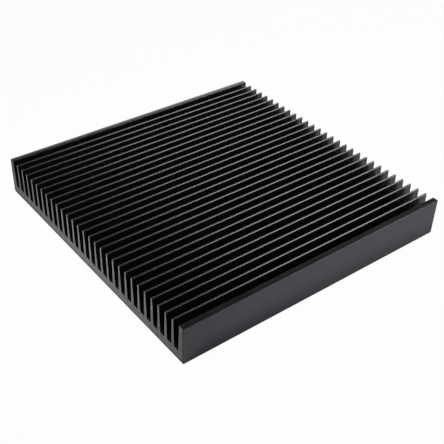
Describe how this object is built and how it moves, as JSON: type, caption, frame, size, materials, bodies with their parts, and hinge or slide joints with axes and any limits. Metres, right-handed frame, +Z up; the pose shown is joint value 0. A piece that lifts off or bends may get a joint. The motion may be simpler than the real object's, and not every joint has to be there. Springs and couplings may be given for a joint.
{
  "type": "extruded heat sink",
  "caption": "Square black anodised aluminium heat sink: a flat base plate with a full row of thin tapered fins between two thicker end walls.",
  "frame": {"origin": "centre of the underside of the base plate", "axes": "+Z up from the underside to the fin tips, X along the fins (the extrusion direction), Y across the fins from end wall to end wall"},
  "size_m": [0.3, 0.3, 0.0386],
  "materials": {
    "black_anodised_aluminium": "satin black anodised, extruded along the fins and sawn at both ends"
  },
  "bodies": {
    "root": {"heat_sink": "black_anodised_aluminium"}
  },
  "joints": []
}
